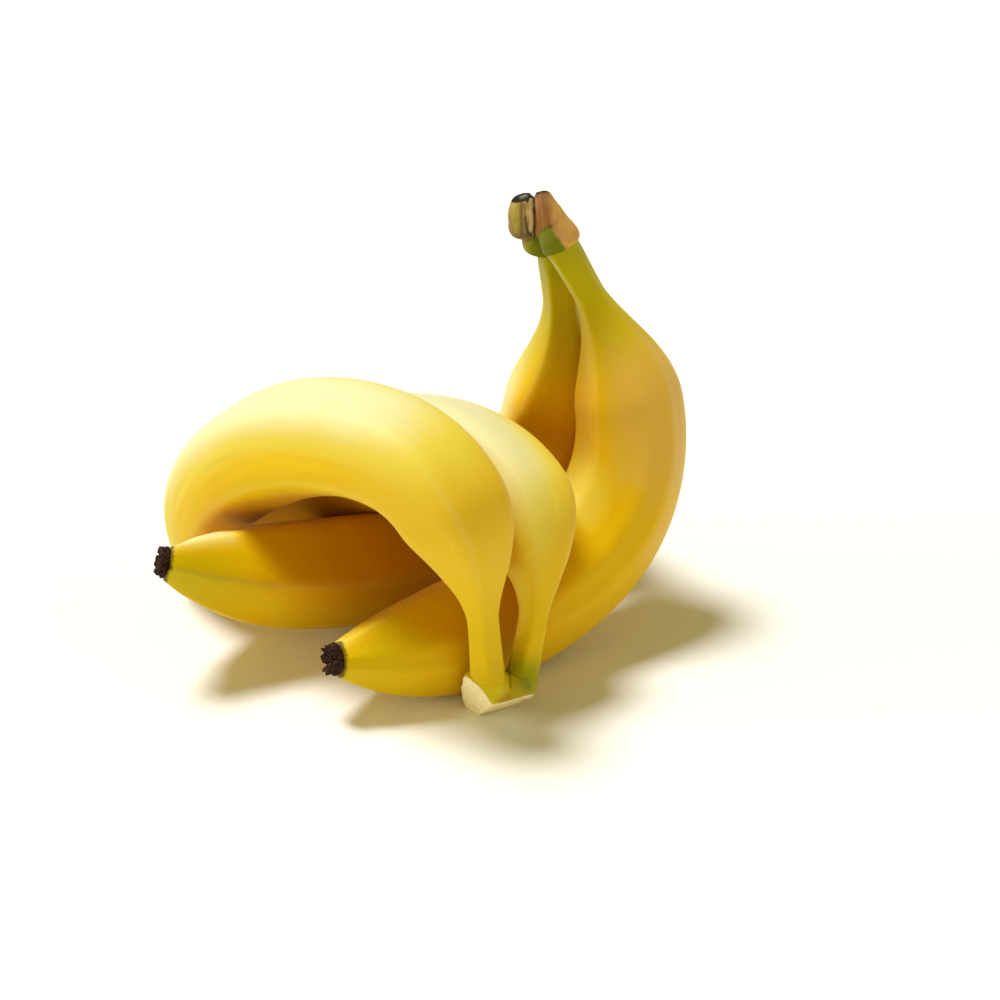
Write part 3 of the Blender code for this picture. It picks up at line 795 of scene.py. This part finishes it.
def dried_skin():
    """The rear crown. The skin has dried tan and brown in streaks, with a pale rib by the crevice between the
    two stubs and an orange rim over the right neck. The crevice itself is painted near black, as shade in it.
    Its cut tops are black and grey, and its collar is still green."""
    material, tone, sockets = new_finish("dried_crown_skin")
    where = tone.node("ShaderNodeTexCoord", {}, {}, "Object")
    across = tone.stored("across")
    up = tone.stored("up")
    grain = tone.grain(where, 420.0, 5.0)
    streak = tone.grain(tone.stretched(where, (1.0, 1.0, 0.15)), 900.0, 4.0)
    wobble = (grain - 0.5) * 2.4
    left = (up + wobble).ease(82.5, 90.0).between((0.20, 0.15, 0.06), (0.36, 0.23, 0.08))
    left = (tone.stored("yellow") * 0.9).between(left, (0.38, 0.33, 0.03))
    brown = (up + wobble).ease(87.0, 94.0).between((0.26, 0.10, 0.016), (0.36, 0.17, 0.075))
    tan = (across + up * 0.5 + wobble).ease(62.0, 58.0).between((0.56, 0.31, 0.085), (0.46, 0.25, 0.10))
    right = (across + wobble * 0.4).ease(14.4, 17.0).between(brown, tan)
    skin = across.ease(10.3, 10.9).between(left, right)
    skin = (streak.ease(0.48, 0.75) * 0.28).between(skin, (0.64, 0.44, 0.24))
    skin = (streak.ease(0.50, 0.28) * 0.22).between(skin, (0.16, 0.08, 0.03))
    skin = (tone.stored("pale") * 0.8).between(skin, (0.52, 0.42, 0.22))
    skin = (tone.stored("rim") * 0.8).between(skin, (0.74, 0.38, 0.03))
    # The crevice is painted near black: painted shade in the sunk line between the stubs.
    for dark, colour in (
        ("crevice", (0.05, 0.02, 0.005)),
        ("groove", (0.07, 0.04, 0.015)),
        ("spot", (0.006, 0.003, 0.002)),
        ("burnt", (0.008, 0.005, 0.004)),
        ("groove_left", (0.18, 0.11, 0.05)),
        ("maroon", (0.12, 0.026, 0.012)),
    ):
        skin = (tone.stored(dark) * 0.9).between(skin, colour)
    below = (up - across * 0.58 + wobble * 0.5).ease(77.1, 75.8)
    beside = (across + up * 0.77 + wobble * 0.5).ease(81.6, 80.0)
    green = (across + wobble * 0.5).ease(7.0, 11.0).between((0.32, 0.29, 0.0), (0.15, 0.17, 0.0))
    skin = (below * beside).between(skin, green)
    cut_top = tone.stored("heart").between((0.008, 0.005, 0.004), (0.16, 0.15, 0.14))
    skin = tone.stored("cut").between(skin, cut_top)
    skin.into(sockets["Base Color"])
    sockets["Roughness"].default_value = 0.62
    height = streak * 0.8 + grain * 0.5
    tone.bump(height, 0.35, 0.0004).into(sockets["Normal"])
    sockets["Specular IOR Level"].default_value = 0.20
    return material


make_crown("crown_front", CROWNS["crown_front"], 0.0009, FRONT_LINES, fresh_cut())
make_crown("crown_rear", CROWNS["crown_rear"], 0.0004, REAR_LINES, dried_skin())


# The flower remnants
# At each tip sits what is left of the flower: a dry black ring, torn to points round a hollow. It is crisp
# and brittle, and grew on the snout.
# Each row is a height above the snout's end and a half width, up the outside and then down into the hollow.
REMNANT_WALL = ((0.0, 0.0046), (0.0007, 0.0050), (0.0018, 0.0049), (0.0031, 0.0046))
REMNANT_HOLLOW = ((0.0023, 0.0030), (0.0018, 0.0015), (0.0022, 0.0006))
NOTCHES = 18
FIRST_SEED = 31


def charred():
    """Dry flower tissue: nearly black brown, rough, with a few paler flecks."""
    material, tone, sockets = new_finish("charred_flower")
    where = tone.node("ShaderNodeTexCoord", {}, {}, "Object")
    grain = tone.grain(where, 900.0, 5.0)
    flecks = tone.grain(where, 1300.0, 2.0).ease(0.60, 0.72)
    colour = grain.ease(0.3, 0.75).between((0.005, 0.002, 0.001), (0.050, 0.016, 0.008))
    (flecks * 0.40).between(colour, (0.26, 0.13, 0.07)).into(sockets["Base Color"])
    sockets["Roughness"].default_value = 0.75
    tone.bump(grain, 0.7, 0.0005).into(sockets["Normal"])
    sockets["Specular IOR Level"].default_value = 0.15
    return material


def make_remnant(name, fruit, slant, material, seed, sides=140, rows=44):
    """A remnant: half widths and heights run up the outside, over a torn rim and down into the hollow. The
    rim's height is cut by narrow notches at seeded angles, and the wall is crumpled."""
    centre, forward, inward, sideways = (part[0] for part in middle_line(fruit, np.ones(1)))
    random = np.random.default_rng(seed)
    profile = np.array(REMNANT_WALL + REMNANT_HOLLOW)
    t = np.linspace(0.0, len(profile) - 1.0, rows)
    height = np.interp(t, np.arange(len(profile)), profile[:, 0])[:, None]
    width = np.interp(t, np.arange(len(profile)), profile[:, 1])[:, None]
    angle = (np.arange(sides) * 2.0 * math.pi / sides)[None]
    torn = np.zeros(sides)
    places = random.uniform(0, 2 * math.pi, NOTCHES)
    depths = random.uniform(0.2, 1.0, NOTCHES)
    spreads = random.uniform(0.08, 0.22, NOTCHES)
    for at, depth, spread in zip(places, depths, spreads):
        gap = np.angle(np.exp(1j * (angle[0] - at)))
        torn = np.maximum(torn, depth * np.exp(-((gap / spread) ** 2)))
    rim = smooth((height - 0.0009) / 0.0022)
    height = height + rim * (0.0007 - 0.0017 * torn)
    out = np.stack([width * np.cos(angle), width * np.sin(angle), height + 0.0 * angle], axis=-1)
    crumple = ripple(out, 0.0024, seed + 7) * 0.00028 + ripple(out, 0.0010, seed + 9) * 0.00010
    width = width * (1.0 - 0.15 * rim * torn) + crumple * smooth(t / 2.0)[:, None]
    height = height + 0.6 * crumple * smooth(t / 2.0)[:, None] + slant * width * np.sin(angle - END_FACE_SIDE)
    rings = (
        centre
        - (width * np.cos(angle))[..., None] * sideways
        + (width * np.sin(angle))[..., None] * inward
        + height[..., None] * forward
    )
    rings[..., 2] = np.maximum(rings[..., 2], 0.0)
    obj = skin_mesh(name + "_dry", rings)
    obj.data.materials.append(material)
    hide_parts(name)
    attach(obj, "root")


dry_flower = charred()
for number, (fruit_name, fruit_sizes) in enumerate(FRUITS.items()):
    end_name = fruit_name.replace("banana", "blossom_end")
    make_remnant(end_name, fruit_sizes, PEELS[fruit_name]["slant"], dry_flower, FIRST_SEED + number)
